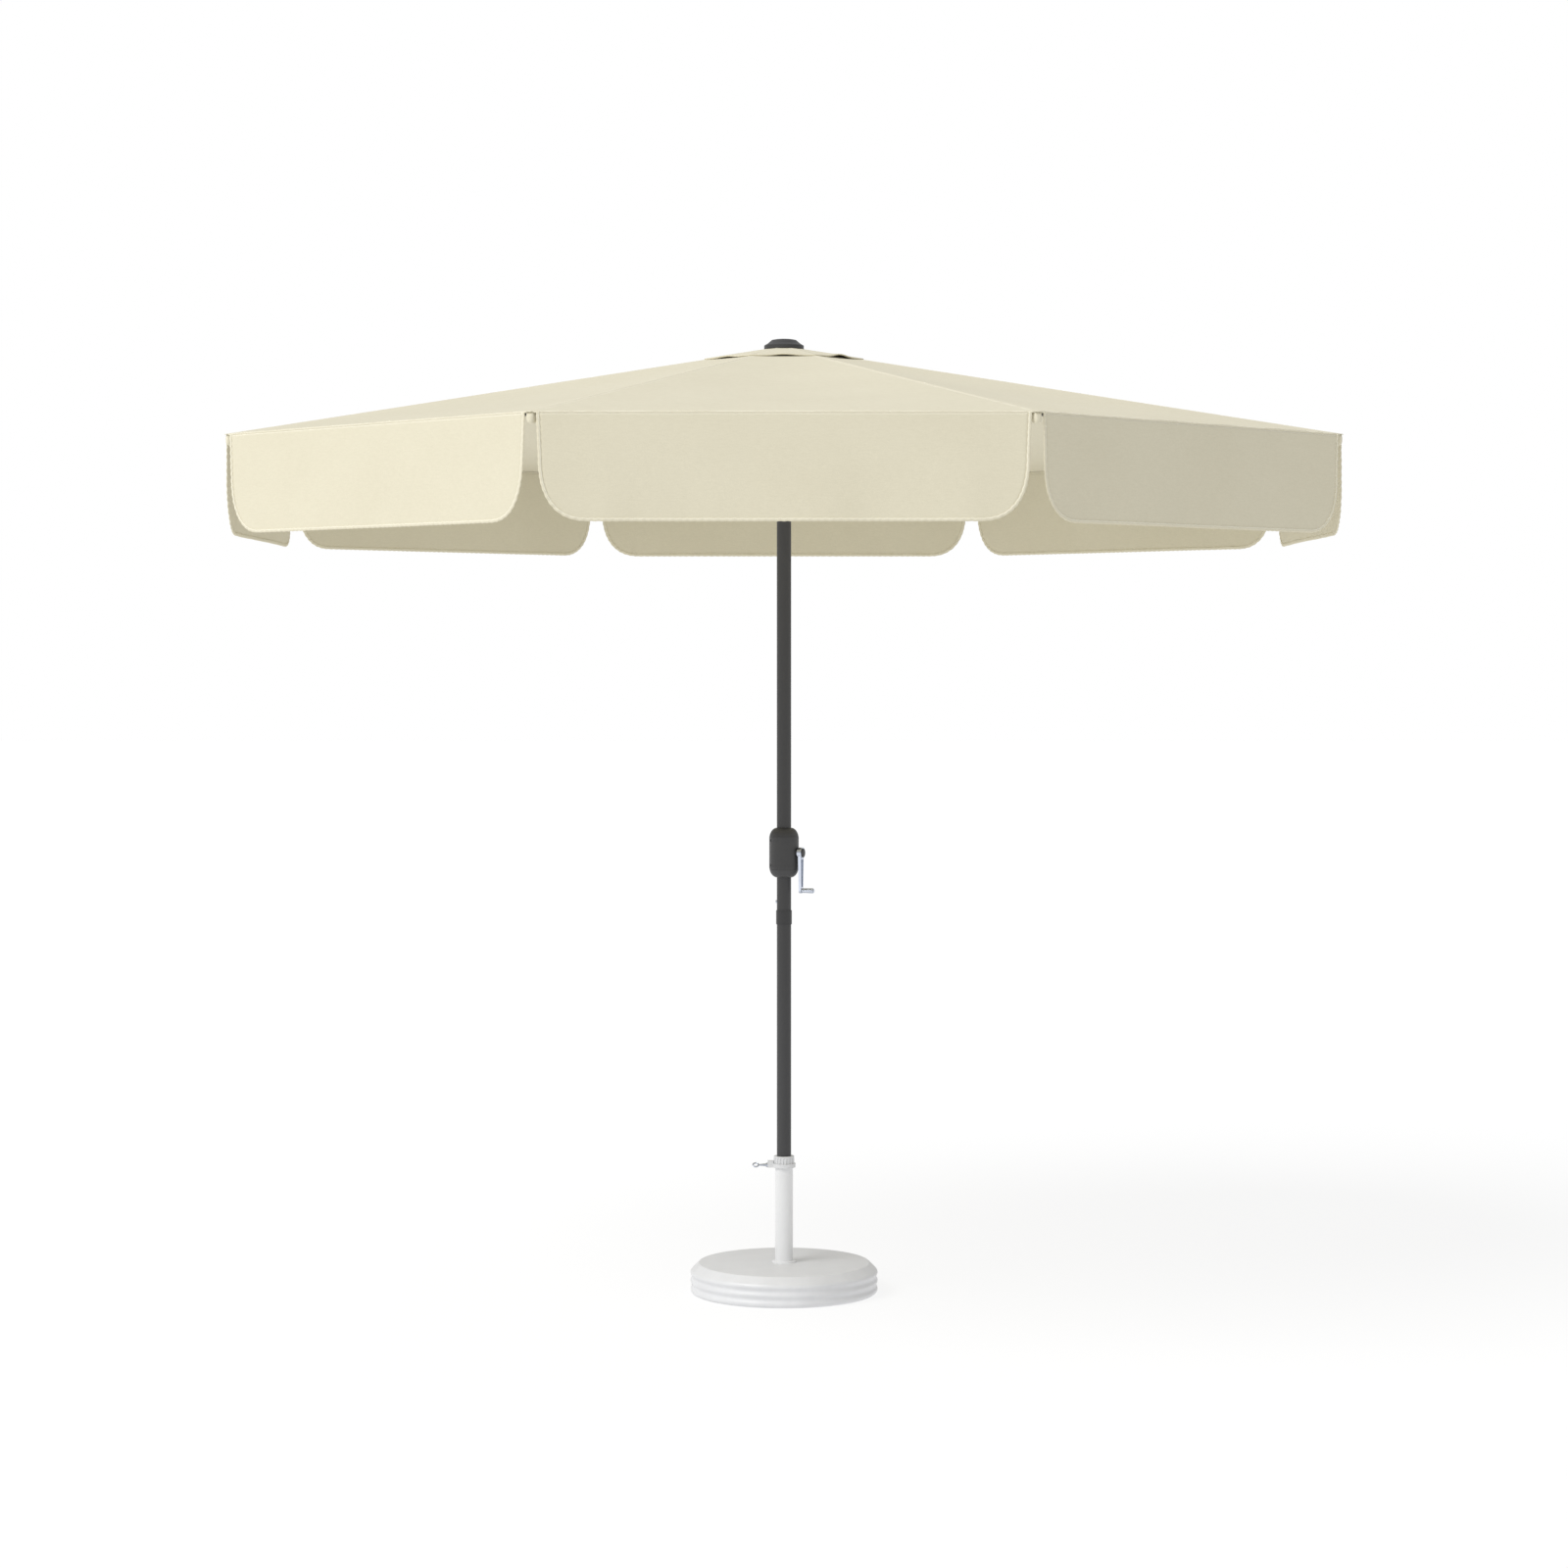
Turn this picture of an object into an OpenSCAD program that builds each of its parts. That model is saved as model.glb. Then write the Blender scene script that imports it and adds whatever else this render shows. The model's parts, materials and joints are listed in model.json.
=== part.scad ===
// Centre-pole patio umbrella with a vented, eight-panel canopy, a crank lift and a weighted round base.
// Millimetres, +Z up. The origin is the centre of the base's underside. Panel mid-lines lie at 0, 45, 90 ...
// degrees about Z and ribs lie halfway between them.

/* [Canopy] */
// Distance from the pole's axis to a corner of the canopy
canopy_r = 1500; // [1400:10:1600]
// Height of the canopy's corners above the ground
rim_z = 2246.5; // [2200:0.5:2300]
// Slope of the ribs below the horizontal, in degrees
rib_slope = 10; // [9:0.5:11]
// Height of the hanging valance
valance_h = 245; // [150:5:260]
// Width left free at each side of a valance, beside the rib
valance_side_gap = 14; // [10:1:30]
// Distance from the axis to a corner of the vent opening
vent_r = 130; // [110:5:150]
// Distance from the axis to a corner of the vent flap
flap_r = 225; // [190:5:240]
// Height of the vent flap's corners
flap_z = 2474; // [2474:0.5:2477]
// Thickness of every sheet of cloth
cloth_t = 1.2; // [1:0.1:1.5]

/* [Frame] */
// Distance from the axis to the rib and strut hinges
hinge_r = 34; // [34:0.5:36]
// Height of the rib hinges
hub_hinge_z = 2490; // [2488:0.5:2490]
// Distance along a rib from its hinge to its strut bracket
strut_at = 600; // [560:5:600]
// Depth of a rib
rib_h = 20; // [16:1:20]
// Width of a rib
rib_w = 12; // [10:1:12]
// Depth of a strut
strut_h = 12; // [10:1:12]
// Width of a strut
strut_w = 10; // [9:0.5:10]

/* [Pole] */
// Outer diameter of the pole
pole_d = 38; // [38:0.1:38.2]
// Wall of the pole
pole_wall = 1.5; // [1.2:0.1:1.6]
// Height at which the two pole sections meet
joint_z = 1002; // [960:1:1005]
// Height of the snap button
button_z = 1043.6; // [1040:0.2:1045]

/* [Crank] */
// Height of the crank's axis
crank_z = 1174.3; // [1165:0.1:1180]
// Direction of the crank's axis about Z, in degrees
crank_azimuth = -22.5; // [-22.5:0.5:-22.5]
// Radius of the crank housing
housing_r = 39.5; // [38:0.5:41]
// Height of the crank housing
housing_h = 132; // [126:1:136]
// Distance from the crank's axis to the knob's axis
crank_throw = 100; // [80:1:110]

/* [Base] */
// Diameter of the base
base_d = 500; // [460:5:540]
// Height of the base's top
base_h = 80; // [78:1:84]
// Outer diameter of the base's tube
tube_d = 48; // [48:0.1:48.4]
// Height of the clamp collar's top
collar_top_z = 364.5; // [360:0.5:380]

/* [Hidden] */
$fn = 64;
ribs = 8;
step = 360 / ribs;
half_step = step / 2;
eps = 0.01;

// Cloth: the ridge over a rib, and the flat panel between two ribs
apothem = canopy_r * cos(half_step);
panel_slope = atan(tan(rib_slope) / cos(half_step));
panel_gap = 0.25;      // from each panel's edge to the ridge
valance_drop = 1.9;    // from the rim to the valance's top edge
corner_rx = 116;       // width of a valance's rounded corner
corner_ry = 149 * valance_h / 245;
corner_power = 2.5;
corner_steps = 9;
valance_flare = 4;     // how much wider a valance is at its top than where its corners start
flap_slope = 0.178;    // rise of the vent flap per unit of radius, at its corners
flap_tip_r = 8;
flap_hole_r = 12;

// Pole and tubes
pole_r = pole_d / 2;
pole_in_r = pole_r - pole_wall;
pole_foot_z = 8.3;
pole_top_z = hub_hinge_z - 14;
plug_t = 4;
spigot_len = 73;
spigot_wall = 1.5;
spigot_r = pole_in_r - 0.05;
sleeve_h = 36.8;
sleeve_r = 20.95;
tube_r = tube_d / 2;
tube_in_r = tube_r - 1.5;
tube_foot_z = 6;
tube_top_z = collar_top_z - 15;

// Rib: x runs outward along the rib from its hinge, y is sideways and z is square to the rib
tongue_w = 8.6;
tongue_r = 7;
rib_start = 17;
rib_end = (canopy_r - 20 - hinge_r) / cos(rib_slope);
rib_wall = 0.8;
bracket_drop = 18;
bracket_ear_t = 2.2;
bracket_ear_r = 7;
bracket_plate = 12;    // half the length of the plate under the rib
bracket_gap = 9;
bracket_pin_r = 2.5;
tip_bar_r = 3.6;
tip_bar_len = 28;
tip_bar_up = 5.5;

// Strut: from the bracket pin B to the runner hinge C, directly below the rib hinge A
strut_len = norm([strut_at, bracket_drop]);
strut_angle = rib_slope + atan(bracket_drop / strut_at);
runner_z = hub_hinge_z - 2 * strut_len * sin(strut_angle);
strut_tongue_w = 8;
strut_tongue_r = 6;
strut_start = 15;
strut_wall = 1;

// Hub and runner
hub_r = 41;
hub_ring_r = 2;
runner_ring_r = 1.8;
pulley_x = 8.5;
pulley_z = hub_hinge_z - 35;
pulley_r = 12;
pulley_flange_r = 14.5;
cord_r = 1;
cord_turn_r = pulley_r + cord_r + 0.3;
cord_out_x = pulley_x + cord_turn_r;
runner_top_z = runner_z + 9;

// Crank: x is the crank's axis, pointing outward
axle_r = 5;
drum_r = 9.1;
drum_half = 8;
spool_flange_r = 13;
spool_flange_t = 2;
crank_boss_x = 41.7;
crank_hub_r = 14.5;
crank_hub_x = [42.2, 54.5];
crank_arm_x = [45, 52];
crank_tip_r = 7.5;
knob_x = [52.4, 84.4];
knob_r = 7;
knob_pin_r = 3;
housing_wall = 3;
back_boss_x = 37;      // end of the boss that carries the axle behind the pole
crank_boss_r = 10;
case_screw_at = [28.5, 33];
case_screw_r = 1.75;
case_screw_head_r = 3.4;
case_boss_r = 4.2;
case_boss_x = 20;
cross_slot = [2.6, 0.5]; // half-length and half-width of a screw's cross slot

// Clamp
clamp_z = collar_top_z - 24.5;
screw_r = 3;
lug_end_x = -43.4;
eye_ring_r = 7.2;
eye_wire_r = 2.1;
eye_tilt = 35;

function rib_azimuth(k) = half_step + step * (k - 1);
function panel_azimuth(k) = step * k;

// ---------- shared shapes ----------

// A ring of the given radii between two heights
module ring(r_out, r_in, z0, z1) {
  translate([0, 0, z0]) difference() {
    cylinder(r = r_out, h = z1 - z0);
    translate([0, 0, -1]) cylinder(r = r_in, h = z1 - z0 + 2);
  }
}

module rod_x(r, x0, x1) { translate([x0, 0, 0]) rotate([0, 90, 0]) cylinder(r = r, h = x1 - x0); }

module rod_y(r, half_len) { rotate([90, 0, 0]) cylinder(r = r, h = 2 * half_len, center = true); }

module wire_ring(ring_radius, wire) {
  rotate_extrude($fn = 96) translate([ring_radius, 0]) circle(r = wire, $fn = 24);
}

module box(x, y, z) { translate([x[0], y[0], z[0]]) cube([x[1] - x[0], y[1] - y[0], z[1] - z[0]]); }

// ---------- base ----------

// The side wall has three rounded bulges with two grooves between them
groove_depth = 3.5;
groove_pitch = 22;
bulge_z = 10.5;
lip_z = bulge_z + 2 * groove_pitch;
function side_r(z) = base_d / 2 - groove_depth / 2 * (1 - cos(360 * (z - bulge_z) / groove_pitch));
foot_points = [for (a = [0 : 18 : 90]) [base_d / 2 - 10 * (1 - sin(a)), bulge_z * (1 - cos(a))]];
side_points = [for (z = [bulge_z + 2 : 2 : lip_z - 2]) [side_r(z), z]];
top_points = [
  [base_d / 2, lip_z], [base_d / 2 - 0.8, lip_z + 3], [base_d / 2 - 3.4, lip_z + 7],
  [base_d / 2 - 20.5, base_h - 1.8], [base_d / 2 - 22.4, base_h - 0.5], [base_d / 2 - 25, base_h]
];
core_points = [
  [tube_r, 3], [base_d / 2 - 13, 3], [base_d / 2 - 7, 10], [base_d / 2 - 7, lip_z],
  [base_d / 2 - 26, base_h - 3], [tube_r, base_h - 3]
];

module base_shell() {
  color("#e8e8e6") difference() {
    rotate_extrude($fn = 144) difference() {
      polygon(concat([[0, 0]], foot_points, side_points, top_points, [[0, base_h]]));
      polygon(concat([[0, 3]], core_points, [[0, base_h - 3]]));
    }
    translate([0, 0, 20]) cylinder(r = tube_r, h = base_h);
  }
}

module base_core() {
  color("#9b9a95") difference() {
    rotate_extrude($fn = 144) polygon(concat([[0, 3]], core_points, [[0, base_h - 3]]));
    translate([0, 0, tube_foot_z]) cylinder(r = tube_r, h = base_h);
  }
}

module base_tube() {
  flange_r = 32.5;
  flange_t = 4;
  color("#eeeeec") difference() {
    rotate_extrude() polygon([
      [0, tube_foot_z], [tube_r, tube_foot_z], [tube_r, base_h], [flange_r, base_h],
      [flange_r - 0.8, base_h + flange_t], [tube_r, base_h + flange_t + 0.6], [tube_r, tube_top_z],
      [tube_in_r, tube_top_z], [tube_in_r, tube_foot_z + 2], [0, tube_foot_z + 2]
    ]);
    translate([0, 0, clamp_z]) rod_x(screw_r + 0.5, -30, -10);
  }
}

module clamp_collar() {
  knurl_r = 27.3;
  knurl_h = 20;
  flange_r = 30.8;
  flange_h = 10;
  lug_half_w = 9;
  lug_z = [clamp_z - 6, clamp_z + 11.5];
  flutes = 20;
  flute_r = 2.2;
  color("#dcdcda") difference() {
    union() {
      translate([0, 0, collar_top_z - knurl_h]) cylinder(r = knurl_r, h = knurl_h - 1);
      translate([0, 0, collar_top_z - 1]) cylinder(r1 = knurl_r, r2 = knurl_r - 1, h = 1);
      translate([0, 0, collar_top_z - knurl_h - flange_h]) cylinder(r = flange_r, h = flange_h);
      box([lug_end_x, -tube_r], [-lug_half_w, lug_half_w], lug_z);
    }
    for (a = [0 : 360 / flutes : 359])
      rotate([0, 0, a]) translate([knurl_r + 0.2, 0, collar_top_z - knurl_h])
        cylinder(r = flute_r, h = 16, $fn = 16);
    translate([0, 0, collar_top_z - 60]) cylinder(r = tube_r, h = 60 - (collar_top_z - tube_top_z));
    translate([0, 0, tube_top_z - 1]) cylinder(r = pole_r + 0.4, h = 30);
    translate([0, 0, clamp_z]) rod_x(screw_r + 0.05, lug_end_x - 1, -10);
  }
}

module guide_bush() { color("#3a3a3c") ring(tube_in_r - 0.1, pole_r + 0.1, tube_foot_z + 2.2, 50); }

module screw_washer() {
  color("#c9ccd1") translate([0, 0, clamp_z]) difference() {
    rod_x(7, lug_end_x - 1.6, lug_end_x - 0.1);
    rod_x(screw_r + 0.05, lug_end_x - 3, lug_end_x + 1);
  }
}

module clamp_screw() {
  shoulder_x = lug_end_x - 1.7;
  eye_x = -75.4;
  color("#d4d7dc") translate([0, 0, clamp_z]) {
    rod_x(screw_r, shoulder_x - 1, -pole_r - 0.3);
    rod_x(5.5, shoulder_x - 3, shoulder_x);
    translate([eye_x + eye_ring_r + 0.5, 0, 0]) rotate([0, 90, 0])
      cylinder(r1 = 2.2, r2 = 4, h = shoulder_x - 2 - eye_x - eye_ring_r - 0.5);
    rotate([eye_tilt, 0, 0]) translate([eye_x, 0, 0]) wire_ring(eye_ring_r, eye_wire_r);
  }
}

// ---------- pole ----------

module pole_end_plug() {
  color("#2b2b2d") union() {
    translate([0, 0, pole_foot_z]) cylinder(r = pole_r, h = plug_t);
    translate([0, 0, pole_foot_z + plug_t - eps]) cylinder(r = pole_in_r, h = 24);
  }
}

module button_hole() { translate([0, 0, button_z]) rod_x(4, -pole_r - 2, -10); }

module lower_pole() {
  foot_z = pole_foot_z + plug_t;
  color("#454547") difference() {
    rotate_extrude() polygon([
      [pole_in_r, foot_z], [pole_r, foot_z], [pole_r, joint_z], [spigot_r, joint_z],
      [spigot_r, joint_z + spigot_len], [spigot_r - spigot_wall, joint_z + spigot_len],
      [spigot_r - spigot_wall, joint_z - 12], [pole_in_r, joint_z - 18]
    ]);
    button_hole();
  }
}

module joint_sleeve() {
  color("#303032") ring(sleeve_r, pole_r, joint_z - sleeve_h / 2, joint_z + sleeve_h / 2);
}

module snap_button() {
  color("#c4c7cb") translate([0, 0, button_z]) rotate([0, -90, 0])
    rotate_extrude($fn = 48) polygon([
      [0, 11.5], [5.5, 11.5], [5.5, 13], [3.9, 13], [3.9, 21], [3.4, 22.2], [2.2, 22.9], [0, 23.1]
    ]);
}

module button_spring() {
  leaf = 0.6;
  bend_r = 11.5;
  bend_z = button_z - 24;
  leg_top = [-11.4, 15];
  leg_z = button_z + 5;
  color("#8f9296") translate([0, 3.5, 0]) rotate([90, 0, 0]) linear_extrude(7) polygon(concat(
    [[leg_top[0], leg_z]], [for (a = [180 : 10 : 360]) [bend_r * cos(a), bend_z + bend_r * sin(a)]],
    [[leg_top[1], leg_z], [leg_top[1] - leaf, leg_z]],
    [for (a = [360 : -10 : 180]) [(bend_r - leaf) * cos(a), bend_z + (bend_r - leaf) * sin(a)]],
    [[leg_top[0] + leaf, leg_z]]
  ));
}

module upper_pole() {
  slot_half_w = 3.6;
  color("#454547") difference() {
    ring(pole_r, pole_in_r, joint_z, pole_top_z);
    button_hole();
    rotate([0, 0, crank_azimuth]) translate([0, 0, crank_z]) rod_x(axle_r + 0.5, -30, 30);
    box([5, 30], [-slot_half_w, slot_half_w], [pulley_z - 19, pulley_z + 18]);
  }
}

// ---------- crank ----------

module in_crank_frame() { rotate([0, 0, crank_azimuth]) translate([0, 0, crank_z]) children(); }

// Outline of the housing, set in by t all round
dome_h = 31;
function dome_point(t, a, end) = [
  pole_r + (housing_r - t - pole_r) * cos(a), end * (housing_h / 2 - dome_h) + (dome_h - t) * sin(a)
];
function housing_points(t) = concat(
  [for (a = [90 : -10 : 10]) dome_point(t, a, 1)], [for (a = [-10 : -10 : -90]) dome_point(t, a, -1)]
);
groove_z = [-44, -33.5, 33.5, 44];

module housing_half(side) {
  keep_x = side > 0 ? [0, 60] : [-60, 0];
  difference() {
    intersection() {
      union() {
        rotate_extrude($fn = 96) difference() {
          polygon(housing_points(0));
          polygon(housing_points(housing_wall));
          for (z = groove_z) translate([housing_r - (abs(z) > 40 ? 1.5 : 0.6), z - 0.6]) square([4, 1.2]);
        }
        for (y = [-1, 1], z = [-1, 1])
          translate([0, y * case_screw_at[0], z * case_screw_at[1]])
            rod_x(case_boss_r, -case_boss_x, case_boss_x);
        if (side > 0) rod_x(crank_boss_r, 21, crank_boss_x); else rod_x(crank_boss_r, -back_boss_x, -21);
      }
      box(keep_x, [-60, 60], [-80, 80]);
    }
    rod_x(axle_r + 0.05, -35, 60);
    for (y = [-1, 1], z = [-1, 1])
      translate([0, y * case_screw_at[0], z * case_screw_at[1]]) {
        rod_x(case_screw_r, -50, 14);
        rod_x(case_screw_head_r + 0.2, -50, -case_boss_x);
      }
  }
}

module housing_front() { color("#3f3f41") in_crank_frame() housing_half(1); }
module housing_back() { color("#3f3f41") in_crank_frame() housing_half(-1); }

module housing_screws() {
  color("#8f9296") in_crank_frame() for (y = [-1, 1], z = [-1, 1])
    translate([0, y * case_screw_at[0], z * case_screw_at[1]]) difference() {
      union() {
        rod_x(case_screw_r, -case_boss_x - 0.5, 13);
        rod_x(case_screw_head_r, -case_boss_x - 2.6, -case_boss_x);
      }
      for (half = [cross_slot, [cross_slot[1], cross_slot[0]]])
        box([-case_boss_x - 4, -case_boss_x - 1.4], [-half[0], half[0]], [-half[1], half[1]]);
    }
}

module crank_spool() {
  color("#b9bcc1") in_crank_frame() union() {
    rod_x(axle_r, -34.5, crank_hub_x[1]);
    rod_x(drum_r, -drum_half - eps, drum_half + eps);
    rod_x(spool_flange_r, drum_half, drum_half + spool_flange_t);
    rod_x(spool_flange_r, -drum_half - spool_flange_t, -drum_half);
  }
}

// The arm's outline between the hub's circle and the smaller circle at the knob
module arm_outline() {
  lean = asin((crank_hub_r - 2.5 - crank_tip_r) / crank_throw);
  hub = crank_hub_r - 2.5;
  circle(r = hub);
  translate([0, -crank_throw]) circle(r = crank_tip_r);
  polygon([
    [hub * cos(lean), -hub * sin(lean)], [crank_tip_r * cos(lean), -crank_throw - crank_tip_r * sin(lean)],
    [-crank_tip_r * cos(lean), -crank_throw - crank_tip_r * sin(lean)], [-hub * cos(lean), -hub * sin(lean)]
  ]);
}

// The channel pressed into the arm's outer face, between the hub and the knob
module arm_channel() {
  top = -crank_hub_r - 3;
  bottom = crank_tip_r + 2 - crank_throw;
  polygon([[8, top], [4.8, bottom], [-4.8, bottom], [-8, top]]);
}

module crank_arm() {
  pin_end = knob_x[1] + 1.6;
  channel_depth = 4;
  color("#cfd2d8") in_crank_frame() difference() {
    union() {
      rod_x(crank_hub_r, crank_hub_x[0], crank_hub_x[1]);
      translate([crank_arm_x[0], 0, 0]) rotate([90, 0, 90])
        linear_extrude(crank_arm_x[1] - crank_arm_x[0]) arm_outline();
      translate([0, 0, -crank_throw]) {
        rod_x(knob_pin_r, crank_arm_x[0], pin_end);
        rod_x(knob_pin_r + 1.4, knob_x[1] + 0.2, pin_end);
      }
    }
    rod_x(axle_r, 0, crank_hub_x[1] + 1);
    translate([crank_arm_x[1] - channel_depth, 0, 0]) rotate([90, 0, 90])
      linear_extrude(channel_depth + 1) arm_channel();
  }
}

module crank_knob() {
  bevel = 1;
  color("#d9dbe0") in_crank_frame() translate([0, 0, -crank_throw]) difference() {
    rotate([0, 90, 0]) rotate_extrude() polygon([
      [0, knob_x[0]], [knob_r - 1.6, knob_x[0]], [knob_r - 0.8, knob_x[0] + bevel],
      [knob_r, knob_x[1] - 2 * bevel], [knob_r - bevel, knob_x[1]], [0, knob_x[1]]
    ]);
    rod_x(knob_pin_r + 0.05, 0, 100);
  }
}

// ---------- lift ----------

module top_pulley() {
  color("#d8d8d4") translate([pulley_x, 0, pulley_z]) rotate([90, 0, 0]) union() {
    cylinder(r = 2.5, h = 15.6, center = true);
    rotate_extrude() polygon([
      [0, -2.6], [pulley_flange_r, -2.6], [pulley_r, -0.9], [pulley_r, 0.9], [pulley_flange_r, 2.6], [0, 2.6]
    ]);
  }
}

// A cord along points that lie about in the XZ plane
module cord_along(points) {
  sides = 8;
  last = len(points) - 1;
  rings = [for (i = [0 : last])
    let (d = points[min(i + 1, last)] - points[max(i - 1, 0)], out = [d[2], 0, -d[0]] / norm([d[2], 0, d[0]]))
    for (a = [0 : 360 / sides : 359]) points[i] + cord_r * (cos(a) * out + [0, sin(a), 0])];
  walls = [for (i = [0 : last - 1], j = [0 : sides - 1])
    let (a = i * sides + j, b = i * sides + (j + 1) % sides) [a, a + sides, b + sides, b]];
  ends = [[for (j = [0 : sides - 1]) j], [for (j = [sides - 1 : -1 : 0]) last * sides + j]];
  polyhedron(points = rings, faces = concat(walls, ends), convexity = 4);
}

// From the side of the spool up inside the pole and over the pulley
module lift_cord() {
  off_drum = drum_r + cord_r + 0.2;
  start = [off_drum * sin(crank_azimuth), -off_drum * cos(crank_azimuth), crank_z];
  over = [for (a = [180 : -15 : 0])
    [pulley_x + cord_turn_r * cos(a), 0, pulley_z + cord_turn_r * sin(a)]];
  color("#2f2f30") cord_along(concat([start], over));
}

// From the pulley down outside the pole, tied to the runner with a knot
module cord_tail() {
  knot_r = 2.2;
  color("#2f2f30") union() {
    translate([cord_out_x, 0, runner_top_z + knot_r])
      cylinder(r = cord_r, h = pulley_z - runner_top_z - knot_r - 0.2, $fn = 20);
    translate([cord_out_x + 0.6, 0, runner_top_z + knot_r]) sphere(r = knot_r, $fn = 24);
  }
}

// ---------- hub, runner and cap ----------

// Slots for the hinge tongues, from radius r0 outward
module tongue_slots(r0, width, z0, z1) {
  for (k = [1 : ribs]) rotate([0, 0, rib_azimuth(k)]) box([r0, 80], [-width / 2, width / 2], [z0, z1]);
}

module top_hub() {
  boss_top = 20.7;
  color("#262628") translate([0, 0, hub_hinge_z]) difference() {
    union() {
      translate([0, 0, -13]) cylinder(r = hub_r, h = 26);
      translate([0, 0, 12]) cylinder(r1 = hub_r, r2 = hub_r - 2, h = 2);
      cylinder(r = 12, h = boss_top);
      translate([0, 0, -13.5]) cylinder(r = pole_r, h = 1);
      translate([0, 0, -50]) cylinder(r = pole_in_r, h = 40);
    }
    tongue_slots(25, tongue_w + 1, -20, tongue_r + 0.6);
    wire_ring(hinge_r, hub_ring_r + 0.05);
    box([-9, 40], [-3.3, 3.3], [-60, -19]);
    translate([pulley_x, 0, pulley_z - hub_hinge_z]) rod_y(2.55, 30);
    translate([0, 0, 4]) cylinder(r = 4, h = 40);
  }
}

module hub_ring() { color("#9a9da2") translate([0, 0, hub_hinge_z]) wire_ring(hinge_r, hub_ring_r); }

module runner() {
  sleeve_out_r = 25;
  color("#262628") translate([0, 0, runner_z]) difference() {
    union() {
      translate([0, 0, -9]) cylinder(r = hub_r, h = 18);
      translate([0, 0, -34]) cylinder(r = sleeve_out_r, h = 26);
      translate([0, 0, -38]) cylinder(r = sleeve_out_r + 4, h = 5);
    }
    translate([0, 0, -60]) cylinder(r = pole_r + 0.6, h = 90);
    tongue_slots(27, strut_tongue_w + 0.8, -strut_tongue_r - 0.8, 20);
    wire_ring(hinge_r, runner_ring_r + 0.05);
  }
}

module runner_ring() { color("#9a9da2") translate([0, 0, runner_z]) wire_ring(hinge_r, runner_ring_r); }

module finial_cap() {
  bottom = hub_hinge_z + 17.1;
  brim_r = 52.5;
  color("#2a2a2c") union() {
    rotate_extrude($fn = 96) polygon([
      [6, hub_hinge_z + 20.9], [6, bottom + 12], [24, bottom + 12], [33, bottom + 7.5], [46, bottom + 4],
      [49.5, bottom + 1.4], [49.5, bottom], [brim_r, bottom], [brim_r, bottom + 9],
      [43, bottom + 14.7], [32.5, bottom + 23.7], [22, bottom + 25.6], [10, bottom + 26.6],
      [0, bottom + 26.8], [0, hub_hinge_z + 20.9]
    ]);
    translate([0, 0, hub_hinge_z + 5]) cylinder(r = 4, h = 20);
  }
}

// ---------- cloth ----------

// A flap with one flat face between each pair of ribs
module vent_flap() {
  rise = flap_slope * (flap_r - flap_tip_r);
  color("#e9e3c9") rotate([0, 0, half_step]) difference() {
    translate([0, 0, flap_z]) cylinder(r1 = flap_r, r2 = flap_tip_r, h = rise, $fn = ribs);
    translate([0, 0, flap_z - cloth_t]) cylinder(r1 = flap_r, r2 = flap_tip_r, h = rise, $fn = ribs);
    translate([0, 0, flap_z - 50]) cylinder(r = flap_hole_r, h = 200, $fn = ribs);
  }
}

module canopy_panel(k) {
  length = (canopy_r - vent_r) * cos(half_step) / cos(panel_slope);
  outer = canopy_r * sin(half_step) - panel_gap;
  inner = vent_r * sin(half_step) - panel_gap;
  color("#e9e3c9") rotate([0, 0, panel_azimuth(k)]) translate([apothem, 0, rim_z]) rotate([0, panel_slope, 0])
    translate([0, 0, -cloth_t]) linear_extrude(cloth_t)
      polygon([[0, -outer], [0, outer], [-length, inner], [-length, -inner]]);
}

// One rounded lower corner, from the side down to the hem: x is half-width, y is the drop from the top
valance_half = canopy_r * sin(half_step) - valance_side_gap;
function corner_point(a) = [
  valance_half - valance_flare - corner_rx * (1 - pow(cos(a), 2 / corner_power)),
  -valance_h + corner_ry * (1 - pow(sin(a), 2 / corner_power))
];
corner_points = [for (i = [0 : corner_steps]) corner_point(90 * i / corner_steps)];
right_points = concat([[valance_half, 0]], corner_points);
left_points = [for (i = [len(right_points) - 1 : -1 : 0]) [-right_points[i][0], right_points[i][1]]];

module valance(k) {
  color("#e9e3c9") rotate([0, 0, panel_azimuth(k)]) translate([apothem, 0, rim_z - valance_drop])
    rotate([90, 0, 90]) translate([0, 0, -cloth_t]) linear_extrude(cloth_t)
      polygon(concat(right_points, left_points));
}

// ---------- ribs and struts ----------

module at_rib(k) { rotate([0, 0, rib_azimuth(k)]) children(); }

// A tube with cut corners along x, set in by t all round
module bar(x0, x1, w, h, t) {
  cut = 2;
  a = w / 2 - t;
  b = h / 2 - t;
  translate([x0, 0, 0]) rotate([90, 0, 90]) linear_extrude(x1 - x0) polygon([
    [-a, -b + cut], [-a + cut, -b], [a - cut, -b], [a, -b + cut],
    [a, b - cut], [a - cut, b], [-a + cut, b], [-a, b - cut]
  ]);
}

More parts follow.
